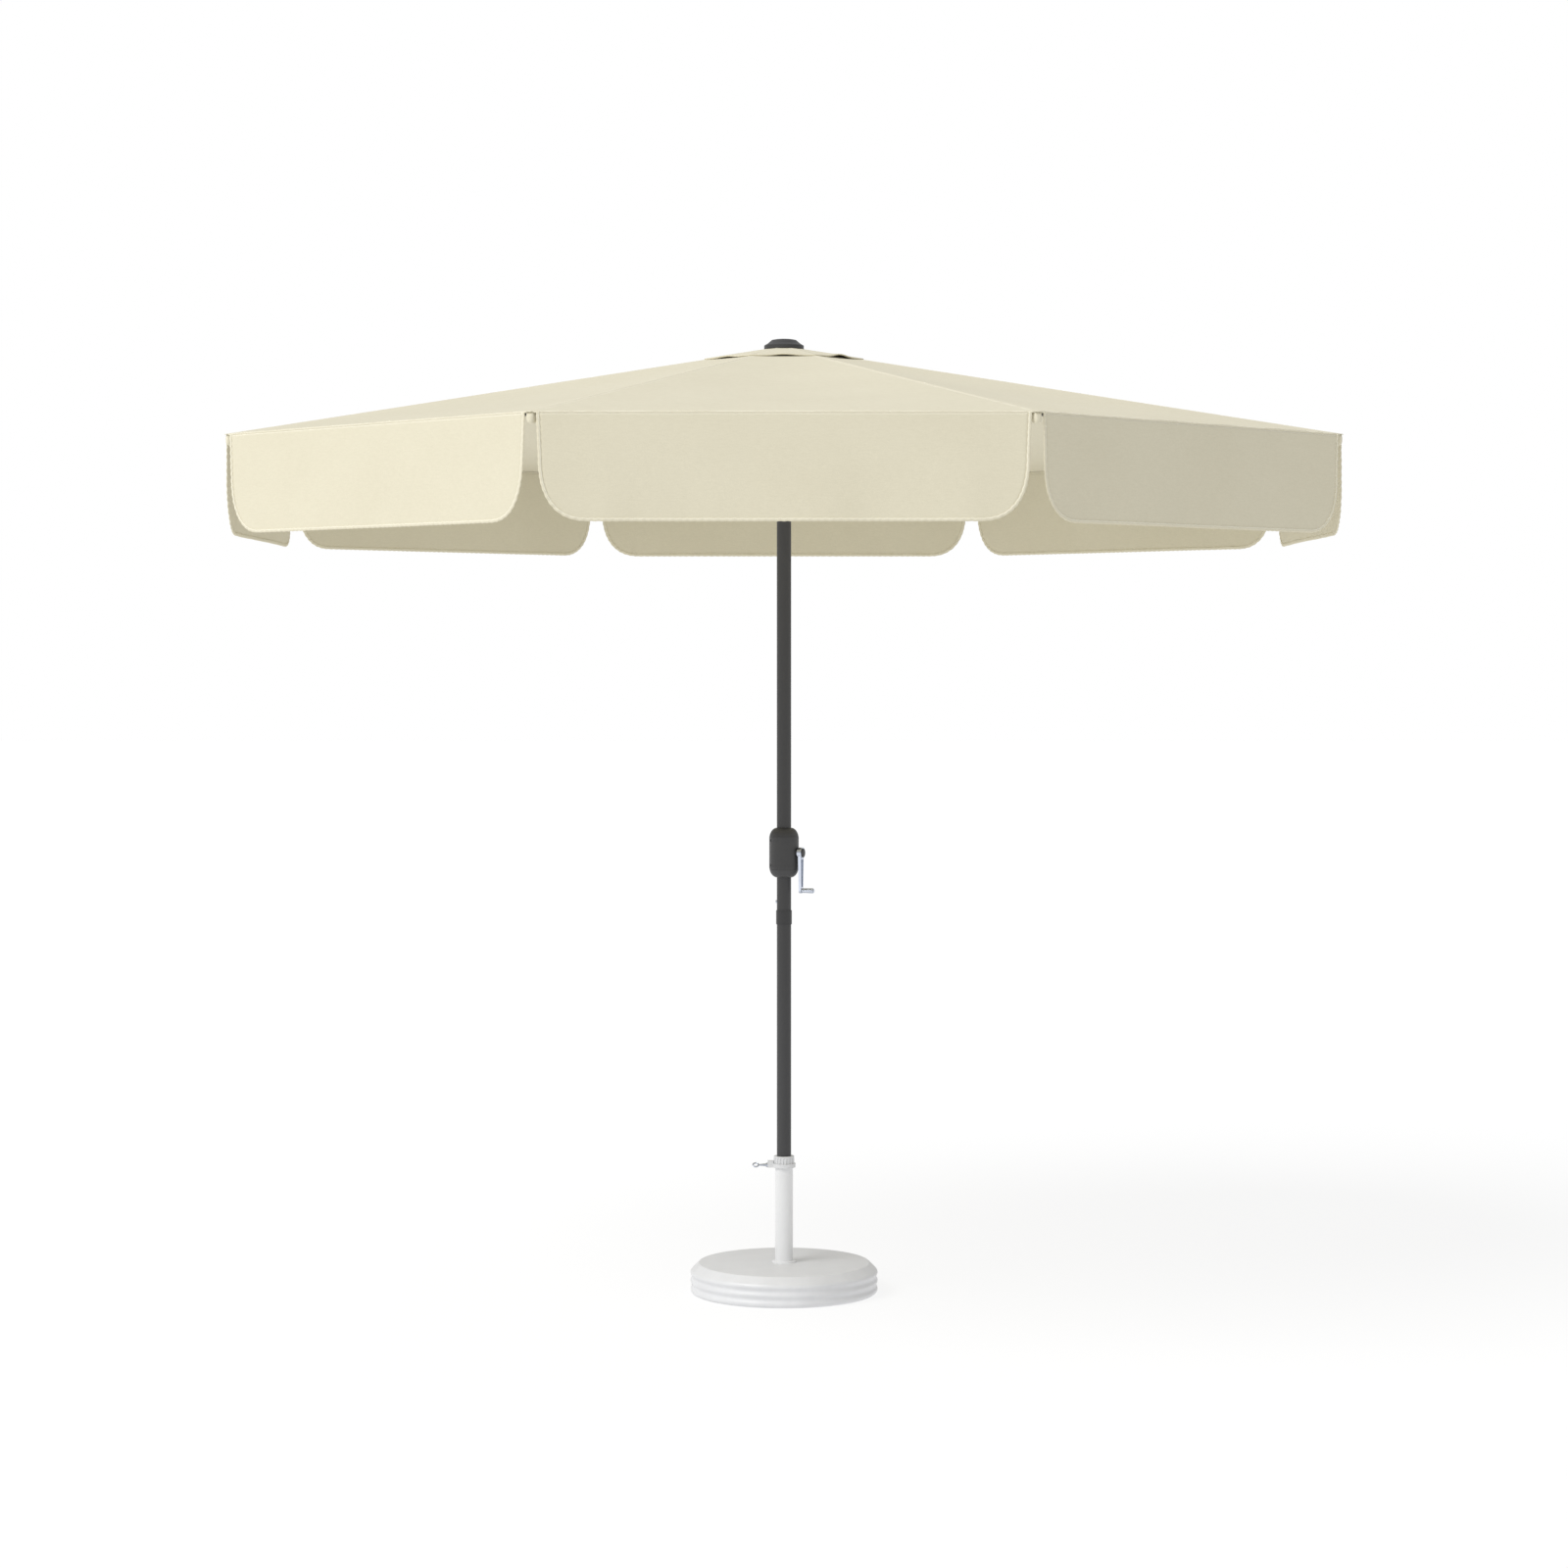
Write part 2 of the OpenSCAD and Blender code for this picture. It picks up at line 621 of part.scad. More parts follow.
module rib(k) {
  ear_out = bracket_gap / 2 + bracket_ear_t;
  fitting_in = rib_start + 25;
  at_rib(k) translate([hinge_r, 0, hub_hinge_z]) rotate([0, rib_slope, 0]) {
    color("#3a3a3c") difference() {
      bar(rib_start, rib_end, rib_w, rib_h, 0);
      bar(rib_start - 1, rib_end + 1, rib_w, rib_h, rib_wall);
    }
    color("#2a2a2c") difference() {
      union() {
        box([0, rib_start - 1], [-tongue_w / 2, tongue_w / 2], [-tongue_r, tongue_r]);
        rod_y(tongue_r, tongue_w / 2);
        bar(rib_start - 1.5, rib_start, rib_w, rib_h, 0);
        bar(rib_start - 1.5, fitting_in, rib_w, rib_h, rib_wall);
      }
      rod_y(hub_ring_r + 0.5, 10);
    }
    color("#55575a") translate([strut_at, 0, 0]) union() {
      for (y = [-1, 1]) translate([0, y * (bracket_gap / 2 + bracket_ear_t / 2), 0]) {
        translate([0, 0, -bracket_drop]) rod_y(bracket_ear_r, bracket_ear_t / 2);
        box([-bracket_ear_r, bracket_ear_r], [-bracket_ear_t / 2, bracket_ear_t / 2],
          [-bracket_drop, -rib_h / 2 - 1.5]);
      }
      box([-bracket_plate, bracket_plate], [-ear_out, ear_out], [-rib_h / 2 - 1.6, -rib_h / 2]);
      translate([0, 0, -bracket_drop]) rod_y(bracket_pin_r, ear_out + 1);
    }
    color("#1c1c1e") union() {
      bar(rib_end - 20, rib_end, rib_w, rib_h, rib_wall);
      bar(rib_end, rib_end + 3, rib_w, rib_h, 0);
      translate([rib_end + 1.5, 0, tip_bar_up]) rod_y(tip_bar_r, tip_bar_len / 2);
    }
  }
}

module strut(k) {
  half_tongue = strut_tongue_w / 2;
  at_rib(k) translate([hinge_r, 0, runner_z]) rotate([0, -strut_angle, 0]) color("#3a3a3c") difference() {
    union() {
      bar(strut_start, strut_len - strut_start, strut_w, strut_h, 0);
      for (x = [[0, strut_start + 8], [strut_len - strut_start - 8, strut_len]])
        box(x, [-half_tongue, half_tongue], [-strut_tongue_r, strut_tongue_r]);
      for (x = [0, strut_len]) translate([x, 0, 0]) rod_y(strut_tongue_r, half_tongue);
    }
    bar(strut_start + 8, strut_len - strut_start - 8, strut_w, strut_h, strut_wall);
    rod_y(runner_ring_r + 0.5, 10);
    translate([strut_len, 0, 0]) rod_y(bracket_pin_r + 0.05, 10);
  }
}

// ---------- nodes ----------

base_shell();
base_core();
base_tube();
clamp_collar();
guide_bush();
screw_washer();
clamp_screw();
pole_end_plug();
lower_pole();
joint_sleeve();
snap_button();
button_spring();
upper_pole();
housing_front();
housing_back();
housing_screws();
crank_spool();
crank_arm();
crank_knob();
top_pulley();
lift_cord();
cord_tail();
top_hub();
hub_ring();
runner();
runner_ring();
finial_cap();
vent_flap();
for (k = [1 : ribs]) {
  rib(k);
  strut(k);
  canopy_panel(k);
  valance(k);
}
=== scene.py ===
"""Centre-pole patio umbrella with a weighted base: cloth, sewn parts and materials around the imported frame.

Lengths are in metres. A point of a panel is (outward, sideways, up) from the axis, before it is turned.
"""
import json
import math

import bpy
import numpy as np
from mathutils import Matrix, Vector, noise


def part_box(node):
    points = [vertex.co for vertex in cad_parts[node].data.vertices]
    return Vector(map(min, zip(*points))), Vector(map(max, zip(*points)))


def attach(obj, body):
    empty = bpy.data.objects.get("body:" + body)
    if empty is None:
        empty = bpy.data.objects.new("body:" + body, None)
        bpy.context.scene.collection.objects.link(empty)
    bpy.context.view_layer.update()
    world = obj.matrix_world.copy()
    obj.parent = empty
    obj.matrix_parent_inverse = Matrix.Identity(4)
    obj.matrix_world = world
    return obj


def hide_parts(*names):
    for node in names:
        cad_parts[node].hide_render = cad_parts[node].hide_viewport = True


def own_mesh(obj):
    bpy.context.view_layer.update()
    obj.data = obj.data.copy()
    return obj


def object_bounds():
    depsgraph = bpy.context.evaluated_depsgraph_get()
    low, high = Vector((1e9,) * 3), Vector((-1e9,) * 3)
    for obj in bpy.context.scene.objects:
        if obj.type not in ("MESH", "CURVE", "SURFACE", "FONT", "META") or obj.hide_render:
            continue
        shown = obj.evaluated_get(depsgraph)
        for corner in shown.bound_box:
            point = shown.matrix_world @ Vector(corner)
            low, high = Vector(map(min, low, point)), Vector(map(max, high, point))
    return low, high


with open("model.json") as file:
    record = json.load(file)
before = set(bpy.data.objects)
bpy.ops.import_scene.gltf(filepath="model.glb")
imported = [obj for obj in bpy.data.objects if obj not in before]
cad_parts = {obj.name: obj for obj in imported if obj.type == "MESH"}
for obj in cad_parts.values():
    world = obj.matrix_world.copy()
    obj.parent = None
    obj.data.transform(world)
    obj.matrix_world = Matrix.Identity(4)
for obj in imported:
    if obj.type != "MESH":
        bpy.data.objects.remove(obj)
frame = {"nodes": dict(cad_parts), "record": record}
cad_low, cad_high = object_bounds()

# ---------------------------------------------------------------- places, from the frame

SIDES = 8
PANELS = range(1, SIDES + 1)
STEP = 2 * math.pi / SIDES
HALF_STEP = STEP / 2


def panel_azimuth(k):
    return STEP * k


def rib_azimuth(k):
    return HALF_STEP + STEP * (k - 1)


PANEL_LOW, PANEL_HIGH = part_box("canopy_panel_8")  # its mid-line lies along +X
VALANCE_LOW, VALANCE_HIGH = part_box("valance_8")
FLAP_LOW, FLAP_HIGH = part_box("vent_flap")

CLOTH_T = 0.0010
VENT_TRIM = 0.0003  # the roof's cloth stops this far outside the CAD panel's inner edge
SIDE_TRIM = 0.0027  # a valance's cloth is this much narrower than its CAD solid, on each side
ROOF_RISE = 0.0019  # from the CAD valance's top to the roof's upper face at the rim
FLAP_RISE = 0.0012  # from the CAD flap's lowest point to its upper face at the edge
HOLE_CORNER = 0.012  # from the axis to a corner of the hole in the flap's collar

APOTHEM = PANEL_HIGH[0]
VENT_APOTHEM = PANEL_LOW[0] + VENT_TRIM
VALANCE_TOP = VALANCE_HIGH[2]
VALANCE_HEIGHT = VALANCE_HIGH[2] - VALANCE_LOW[2]
VALANCE_HALF = VALANCE_HIGH[1] - SIDE_TRIM
RIM_Z = VALANCE_TOP + ROOF_RISE
SLOPE = (PANEL_HIGH[2] - RIM_Z) / (APOTHEM - VENT_APOTHEM)
FLAP_APOTHEM = FLAP_HIGH[0]
FLAP_Z = FLAP_LOW[2] + FLAP_RISE
FLAP_HOLE = HOLE_CORNER * math.cos(HALF_STEP)
FLAP_SLOPE = (FLAP_HIGH[2] - FLAP_Z) / (FLAP_APOTHEM - FLAP_HOLE)


def roof_z(rho):
    """Height of the flat roof panel at a distance from the axis, measured along the panel's mid-line."""
    return RIM_Z + (APOTHEM - rho) * SLOPE


def seam_distance(rho, t):
    """Distance of a panel's point from the nearer of its two ribs."""
    return (rho * math.tan(HALF_STEP) - abs(t)) * math.cos(HALF_STEP)


# ---------------------------------------------------------------- mesh helpers

UP = (0, 0, 1)


def turned(points, azimuth):
    """Points given as (outward, sideways, up) of a panel, turned to its azimuth."""
    c, s = math.cos(azimuth), math.sin(azimuth)
    p = np.asarray(points, float).reshape(-1, 3)
    return np.stack([p[:, 0] * c - p[:, 1] * s, p[:, 0] * s + p[:, 1] * c, p[:, 2]], axis=1)


def placed(point, azimuth):
    """One point or direction, turned to a panel's azimuth."""
    return turned([point], azimuth)[0]


def new_piece(name, points, faces, material):
    mesh = bpy.data.meshes.new(name)
    mesh.from_pydata([tuple(p) for p in points], [], faces)
    mesh.validate()
    mesh.update()
    mesh.polygons.foreach_set("use_smooth", [True] * len(mesh.polygons))
    piece = bpy.data.objects.new(name, mesh)
    bpy.context.scene.collection.objects.link(piece)
    mesh.materials.append(material)
    return piece


def grid_faces(rows, columns):
    """Faces of a grid of points, stored row by row."""
    return [
        (i * columns + j, i * columns + j + 1, (i + 1) * columns + j + 1, (i + 1) * columns + j)
        for i in range(rows - 1) for j in range(columns - 1)
    ]


def tube_faces(rings, sides):
    """Faces of a tube of points, stored ring by ring."""
    faces = []
    for i in range(rings - 1):
        for j in range(sides):
            n = (j + 1) % sides
            faces.append((i * sides + j, (i + 1) * sides + j, (i + 1) * sides + n, i * sides + n))
    return faces


def end_faces(rings, sides):
    """The two faces that close such a tube."""
    last = (rings - 1) * sides
    return [tuple(range(sides)), tuple(last + j for j in reversed(range(sides)))]


def swept(name, path, frames, profile, material):
    """A profile of (a, b) points carried along a path; frames gives the two directions at each point."""
    points = []
    for at, (first, second) in zip(path, frames):
        points += [np.asarray(at) + a * np.asarray(first) + b * np.asarray(second) for a, b in profile]
    faces = tube_faces(len(path), len(profile)) + end_faces(len(path), len(profile))
    return new_piece(name, points, faces, material)


def store(piece, cloth):
    """Stores three numbers for each point, which the cloth's materials read."""
    layer = piece.data.attributes.new("cloth", "FLOAT_VECTOR", "POINT")
    layer.data.foreach_set("vector", np.asarray(cloth, np.float32).ravel())


def thicken(piece, thickness=CLOTH_T, offset=-1.0):
    solid = piece.modifiers.new("thickness", "SOLIDIFY")
    solid.thickness = thickness
    solid.offset = offset
    return piece


def dress(piece, body):
    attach(piece, body)
    return piece


def cloth_sheet(name, k, points, cloth, columns, material, offset=-1.0):
    """A sheet of panel k, from a grid of points and what its material reads at each of them."""
    faces = grid_faces(len(points) // columns, columns)
    sheet = new_piece(name, turned(points, panel_azimuth(k)), faces, material)
    store(sheet, cloth)
    return thicken(sheet, CLOTH_T, offset)


def sewn_strip(name, path, frames, profile, cloth, body):
    """A tape or a seam along a path."""
    strip = swept(name, path, frames, profile, CANVAS_TAPE)
    store(strip, cloth)
    return dress(strip, body)


def fold_with_canopy(piece):
    """Gives the piece a mesh of its own."""
    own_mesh(piece)


# each pattern of waves has a seed of its own, and SEED_STEP keeps them apart in the noise
SEED_STEP = 7.31
BROAD_SEED, NARROW_SEED, FLAP_SEED = 20, 40, 60  # added to the panel's number
PHASE_SEED, PUCKER_SEED, RIM_SEED, RIDGE_SEED = 3, 5, 9, 12


def wave(x, y, seed):
    return noise.noise(Vector((x, y, seed * SEED_STEP)))


# ---------------------------------------------------------------- material helpers

WHITE = (1.0, 1.0, 1.0)
MIX_FACTOR, MIX_FIRST, MIX_SECOND, MIX_RESULT = 0, 6, 7, 2  # the colour sockets of a Mix node


def grey(level):
    return (level,) * 3


def shade(color, share):
    return tuple(c * share for c in color)


def tree(name):
    material = bpy.data.materials.new(name)
    material.use_nodes = True
    nodes, links = material.node_tree.nodes, material.node_tree.links
    return material, nodes, links, nodes["Principled BSDF"]


def object_coords(nodes, links, scale=(1.0, 1.0, 1.0)):
    coords = nodes.new("ShaderNodeTexCoord")
    mapping = nodes.new("ShaderNodeMapping")
    mapping.inputs["Scale"].default_value = scale
    links.new(coords.outputs["Object"], mapping.inputs["Vector"])
    return mapping.outputs["Vector"]


def ramp(nodes, links, source, *stops):
    """A colour ramp; stops are (position, colour)."""
    made = nodes.new("ShaderNodeValToRGB")
    elements = made.color_ramp.elements
    while len(elements) < len(stops):
        elements.new(0.5)
    for element, (at, color) in zip(elements, stops):
        element.position = at
        element.color = (*color, 1)
    links.new(source, made.inputs["Fac"])
    return made.outputs["Color"]


def math_node(nodes, links, operation, first, second=None):
    made = nodes.new("ShaderNodeMath")
    made.operation = operation
    for socket, value in zip(made.inputs, (first, second)):
        if value is None:
            continue
        if isinstance(value, (int, float)):
            socket.default_value = value
        else:
            links.new(value, socket)
    return made.outputs[0]


def bump(nodes, links, height, strength, distance, below=None):
    made = nodes.new("ShaderNodeBump")
    made.inputs["Strength"].default_value = strength
    made.inputs["Distance"].default_value = distance
    links.new(height, made.inputs["Height"])
    if below is not None:
        links.new(below, made.inputs["Normal"])
    return made.outputs["Normal"]


def noise_node(nodes, links, vector, scale, detail, roughness):
    made = nodes.new("ShaderNodeTexNoise")
    made.inputs["Scale"].default_value = scale
    made.inputs["Detail"].default_value = detail
    made.inputs["Roughness"].default_value = roughness
    links.new(vector, made.inputs["Vector"])
    return made.outputs["Fac"]


def mix_color(nodes, links, factor, first, second, blend="MIX"):
    made = nodes.new("ShaderNodeMix")
    made.data_type = "RGBA"
    made.blend_type = blend
    for index, value in ((MIX_FACTOR, factor), (MIX_FIRST, first), (MIX_SECOND, second)):
        if hasattr(value, "is_linked"):
            links.new(value, made.inputs[index])
        elif hasattr(value, "__len__"):
            made.inputs[index].default_value = (*value, 1)
        else:
            made.inputs[index].default_value = value
    return made.outputs[MIX_RESULT]


# ---------------------------------------------------------------- materials

THREADS_PER_M = 1000
WEAVE_DEPTH = 0.25  # of the weave's waves, which run from -1 to 1
SLUB_SCALE, DUST_SCALE, BRUSH_SCALE = (60, 60, 260), (9, 9, 1.6), (900, 900, 60)
CREAM = (0.715, 0.672, 0.527)
CREAM_DARK = (0.690, 0.646, 0.502)
STITCHES_PER_M = 250.0
STITCH_SHARE = 0.75  # of a stitch's spacing that its thread covers: 3 mm of thread, then a 1 mm gap
STITCH_HALF = 0.0005  # half of the thread's width
STITCH_COLOR = (0.93, 0.90, 0.78)


def canvas(name, painted_brightness=1.0, stitch_row=0.012):
    """Woven polyester. Attribute cloth holds (across, along, distance from the nearest sewn edge) in metres.
    stitch_row is the distance from the edge at which a row of stitching runs."""
    material, nodes, links, shader = tree(name)
    attribute = nodes.new("ShaderNodeAttribute")
    attribute.attribute_name = "cloth"
    split = nodes.new("ShaderNodeSeparateXYZ")
    links.new(attribute.outputs["Vector"], split.inputs[0])
    across, along, edge = split.outputs

    # plain weave: one set of threads over the other, by turns
    turn = THREADS_PER_M * math.pi
    weft = math_node(nodes, links, "SINE", math_node(nodes, links, "MULTIPLY", across, turn))
    warp = math_node(nodes, links, "SINE", math_node(nodes, links, "MULTIPLY", along, turn))
    weave = math_node(nodes, links, "MULTIPLY", weft, warp)

    coords = object_coords(nodes, links)
    cloudy = noise_node(nodes, links, coords, scale=3.0, detail=4.0, roughness=0.6)
    stretched = object_coords(nodes, links, SLUB_SCALE)
    slubs = noise_node(nodes, links, stretched, scale=1.0, detail=3.0, roughness=0.6)
    grain = noise_node(nodes, links, coords, scale=420.0, detail=2.0, roughness=0.7)
    # painted_brightness scales the cloth's own colour: below 1 it is painted shade, above 1 a painted highlight
    base = ramp(nodes, links, cloudy, (0.30, shade(CREAM_DARK, painted_brightness)), (0.70, shade(CREAM, painted_brightness)))
    mottled = ramp(nodes, links, grain, (0.25, (0.91, 0.91, 0.90)), (0.75, WHITE))
    color = mix_color(nodes, links, 1.0, base, mottled, "MULTIPLY")
    streaks = ramp(nodes, links, slubs, (0.30, (0.965, 0.963, 0.955)), (0.65, WHITE))
    color = mix_color(nodes, links, 1.0, color, streaks, "MULTIPLY")

    height = math_node(nodes, links, "MULTIPLY", weave, WEAVE_DEPTH)
    normal = bump(nodes, links, slubs, strength=0.10, distance=0.0008)
    normal = bump(nodes, links, height, strength=0.25, distance=0.0003, below=normal)

    # the row of stitching
    off_row = math_node(nodes, links, "ABSOLUTE", math_node(nodes, links, "SUBTRACT", edge, stitch_row))
    near = math_node(nodes, links, "LESS_THAN", off_row, STITCH_HALF)
    run = math_node(nodes, links, "MULTIPLY", math_node(nodes, links, "ADD", across, along), STITCHES_PER_M)
    covered = math_node(nodes, links, "LESS_THAN", math_node(nodes, links, "FRACT", run), STITCH_SHARE)
    thread = math_node(nodes, links, "MULTIPLY", near, covered)
    color = mix_color(nodes, links, thread, color, STITCH_COLOR)
    normal = bump(nodes, links, thread, strength=0.5, distance=0.0006, below=normal)

    links.new(color, shader.inputs["Base Color"])
    links.new(normal, shader.inputs["Normal"])
    links.new(ramp(nodes, links, grain, (0.2, grey(0.78)), (0.8, grey(0.90))), shader.inputs["Roughness"])
    shader.inputs["Sheen Weight"].default_value = 0.1
    shader.inputs["Sheen Roughness"].default_value = 0.5
    shader.inputs["Specular IOR Level"].default_value = 0.2
    return material


def powder_coat(name, color, roughness=0.42, orange_peel=0.12, coat=0.0):
    """Powder-coated or painted metal: fine orange peel, slight mottling and a few dusty streaks."""
    material, nodes, links, shader = tree(name)
    peel = noise_node(nodes, links, object_coords(nodes, links), scale=900.0, detail=2.0, roughness=0.5)
    upright = object_coords(nodes, links, DUST_SCALE)
    dust = noise_node(nodes, links, upright, scale=1.0, detail=5.0, roughness=0.6)
    mottled = ramp(nodes, links, dust, (0.35, shade(color, 0.88)), (0.7, color))
    rough = ramp(nodes, links, dust, (0.3, grey(roughness - 0.06)), (0.75, grey(roughness + 0.08)))
    links.new(mottled, shader.inputs["Base Color"])
    links.new(rough, shader.inputs["Roughness"])
    links.new(bump(nodes, links, peel, strength=orange_peel, distance=0.0004), shader.inputs["Normal"])
    shader.inputs["Coat Weight"].default_value = coat
    shader.inputs["Coat Roughness"].default_value = 0.2
    return material


def moulded_plastic(name, color, roughness=0.45, grain=0.2, scale=1400.0):
    """Moulded plastic with a fine spark-eroded grain and softly varied gloss."""
    material, nodes, links, shader = tree(name)
    coords = object_coords(nodes, links)
    fine = noise_node(nodes, links, coords, scale, detail=2.0, roughness=0.6)
    broad = noise_node(nodes, links, coords, scale=14.0, detail=4.0, roughness=0.6)
    mottled = ramp(nodes, links, broad, (0.3, shade(color, 0.93)), (0.7, color))
    rough = ramp(nodes, links, broad, (0.3, grey(roughness - 0.05)), (0.7, grey(roughness + 0.07)))
    links.new(mottled, shader.inputs["Base Color"])
    links.new(rough, shader.inputs["Roughness"])
    links.new(bump(nodes, links, fine, strength=grain, distance=0.0003), shader.inputs["Normal"])
    return material


def plated(name, color, roughness=0.16, scratch=0.25):
    """Zinc or chrome plate: metal with faint brushing and cloudy reflections."""
    material, nodes, links, shader = tree(name)
    upright = object_coords(nodes, links, BRUSH_SCALE)
    brushed = noise_node(nodes, links, upright, scale=1.0, detail=3.0, roughness=0.6)
    cloudy = noise_node(nodes, links, object_coords(nodes, links), scale=60.0, detail=3.0, roughness=0.6)
    mottled = ramp(nodes, links, cloudy, (0.3, shade(color, 0.82)), (0.7, color))
    rough = ramp(nodes, links, cloudy, (0.3, grey(roughness)), (0.75, grey(roughness + 0.16)))
    links.new(mottled, shader.inputs["Base Color"])
    links.new(rough, shader.inputs["Roughness"])
    links.new(bump(nodes, links, brushed, strength=scratch, distance=0.0002), shader.inputs["Normal"])
    shader.inputs["Metallic"].default_value = 1.0
    return material


def cast_concrete(name):
    """Grey concrete with sand in it."""
    material, nodes, links, shader = tree(name)
    coords = object_coords(nodes, links)
    sand = noise_node(nodes, links, coords, scale=260.0, detail=6.0, roughness=0.7)
    broad = noise_node(nodes, links, coords, scale=12.0, detail=4.0, roughness=0.6)
    patches = ramp(nodes, links, broad, (0.3, (0.30, 0.29, 0.27)), (0.7, (0.42, 0.41, 0.39)))
    grains = ramp(nodes, links, sand, (0.3, grey(0.7)), (0.7, WHITE))
    links.new(mix_color(nodes, links, 1.0, patches, grains, "MULTIPLY"), shader.inputs["Base Color"])
    links.new(bump(nodes, links, sand, strength=0.6, distance=0.001), shader.inputs["Normal"])
    shader.inputs["Roughness"].default_value = 0.9
    return material


def braided_cord(name):
    """Black braid, with its strands as slanting bands."""
    material, nodes, links, shader = tree(name)
    strands = nodes.new("ShaderNodeTexWave")
    strands.wave_type = "BANDS"
    strands.bands_direction = "DIAGONAL"
    strands.inputs["Scale"].default_value = 220.0
    strands.inputs["Distortion"].default_value = 0.6
    links.new(object_coords(nodes, links), strands.inputs["Vector"])
    bands = strands.outputs["Fac"]
    dark, light = (0.02, 0.02, 0.021), (0.07, 0.07, 0.072)
    links.new(ramp(nodes, links, bands, (0.2, dark), (0.8, light)), shader.inputs["Base Color"])
    links.new(bump(nodes, links, bands, strength=0.8, distance=0.0006), shader.inputs["Normal"])
    shader.inputs["Roughness"].default_value = 0.8
    return material


CANVAS_ROOF = canvas("canvas_roof", stitch_row=0.012)
# the valances' cloth is painted 1.5% darker than the roof's, as painted shade on the hanging sides
CANVAS_VALANCE = canvas("canvas_valance", painted_brightness=0.985, stitch_row=0.006)
CANVAS_FLAP = canvas("canvas_flap", stitch_row=0.010)
# the tape is painted 2% lighter than the cloth, as a painted highlight along the seams, binding and pockets
CANVAS_TAPE = canvas("canvas_tape", painted_brightness=1.02, stitch_row=0.0022)

CAD_MATERIALS = {
    "base_plastic": moulded_plastic(
        "base_plastic", (0.705, 0.71, 0.722), roughness=0.38, grain=0.18, scale=900.0),
    "concrete": cast_concrete("cast_concrete"),
    "tube_paint": powder_coat("tube_paint", (0.83, 0.835, 0.842), roughness=0.34, orange_peel=0.10, coat=0.2),
    "collar_plastic": moulded_plastic("collar_plastic", (0.70, 0.705, 0.715), roughness=0.42),
    "black_nylon": moulded_plastic("black_nylon", (0.035, 0.035, 0.037), roughness=0.5, grain=0.25),
    "plated_steel": plated("plated_steel", (0.62, 0.66, 0.75), roughness=0.10),
    "pole_paint": powder_coat("pole_paint", (0.047, 0.047, 0.049), roughness=0.52, orange_peel=0.14),
    "frame_paint": powder_coat("frame_paint", (0.05, 0.05, 0.052), roughness=0.45, orange_peel=0.14),
    "spring_steel": plated("spring_steel", (0.50, 0.51, 0.53), roughness=0.3, scratch=0.3),
    "housing_plastic": moulded_plastic(
        "housing_plastic", (0.048, 0.048, 0.050), roughness=0.48, grain=0.3, scale=1100.0),
    "pulley_nylon": moulded_plastic("pulley_nylon", (0.70, 0.69, 0.65), roughness=0.4, grain=0.15),
    "cord_braid": braided_cord("cord_braid"),
    "hub_plastic": moulded_plastic("hub_plastic", (0.036, 0.036, 0.038), roughness=0.42, grain=0.25),
}


def finish_cad_nodes():
    slots = {s["node"]: s["material_slot"] for s in frame["record"]["subparts"]}
    for name, obj in frame["nodes"].items():
        if slots.get(name) in CAD_MATERIALS:
            for i in range(len(obj.material_slots)):
                obj.material_slots[i].material = CAD_MATERIALS[slots[name]]


# ---------------------------------------------------------------- roof

ROOF_ROWS, ROOF_COLUMNS = 72, 57
ROOF_SEAM_GAP = 0.0004  # between a gore's edge and the middle of the rib
ROOF_DROP = 0.0002
SAG = 0.013
SAG_ACROSS, SAG_DOWN = 1.2, 1.3  # powers that shape the sag across a panel and down it
FOLD_HEIGHT, FOLDS_ACROSS, FOLDS_DOWN = 0.0016, 7, 0.9
PULL_HEIGHT, PULLS_ACROSS, PULLS_DOWN = 0.0022, 95, 40
PULL_SIDEWAYS, PULL_OUTWARD = 0.20, 0.30  # how far the pull of a sewn corner reaches
ROOF_STITCH_SHIFT = 0.004  # puts the stitching at the rim nearer to the seam than the stitching at the ribs


def roof_point(k, v, u):
    """A point of gore k: v runs from the vent (0) to the rim (1), and u across from rib to rib (-1 to 1)."""
    rho = VENT_APOTHEM + v * (APOTHEM - VENT_APOTHEM)
    half = rho * math.tan(HALF_STEP) - ROOF_SEAM_GAP
    t = u * half
    open_share = 1 - u * u
    sag = SAG * open_share ** SAG_ACROSS * math.sin(math.pi * v) ** SAG_DOWN
    # shallow folds that run down from the vent, and short ones that pull in to the sewn corners
    folds = FOLD_HEIGHT * wave(t * FOLDS_ACROSS + k, rho * FOLDS_DOWN, k) * open_share * v
    corner = max(0.0, 1 - math.hypot((abs(t) - half) / PULL_SIDEWAYS, (rho - APOTHEM) / PULL_OUTWARD))
    ripples = math.sin(abs(t) * PULLS_ACROSS + rho * PULLS_DOWN + k)
    pull = PULL_HEIGHT * corner * ripples * math.sqrt(open_share)
    return rho, t, roof_z(rho) - sag + folds + pull - ROOF_DROP


def make_gore(k):
    columns = np.sin(np.linspace(-1, 1, ROOF_COLUMNS) * math.pi / 2)
    points, cloth = [], []
    for v in np.linspace(0, 1, ROOF_ROWS):
        for u in columns:
            rho, t, z = roof_point(k, v, u)
            points.append((rho, t, z))
            cloth.append((t, rho, min(seam_distance(rho, t), APOTHEM - rho + ROOF_STITCH_SHIFT)))
    gore = cloth_sheet(f"canopy_gore_{k}", k, points, cloth, ROOF_COLUMNS, CANVAS_ROOF)
    dress(gore, f"panel_{k}")
    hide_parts(f"canopy_panel_{k}")
    return gore


# ---------------------------------------------------------------- valances

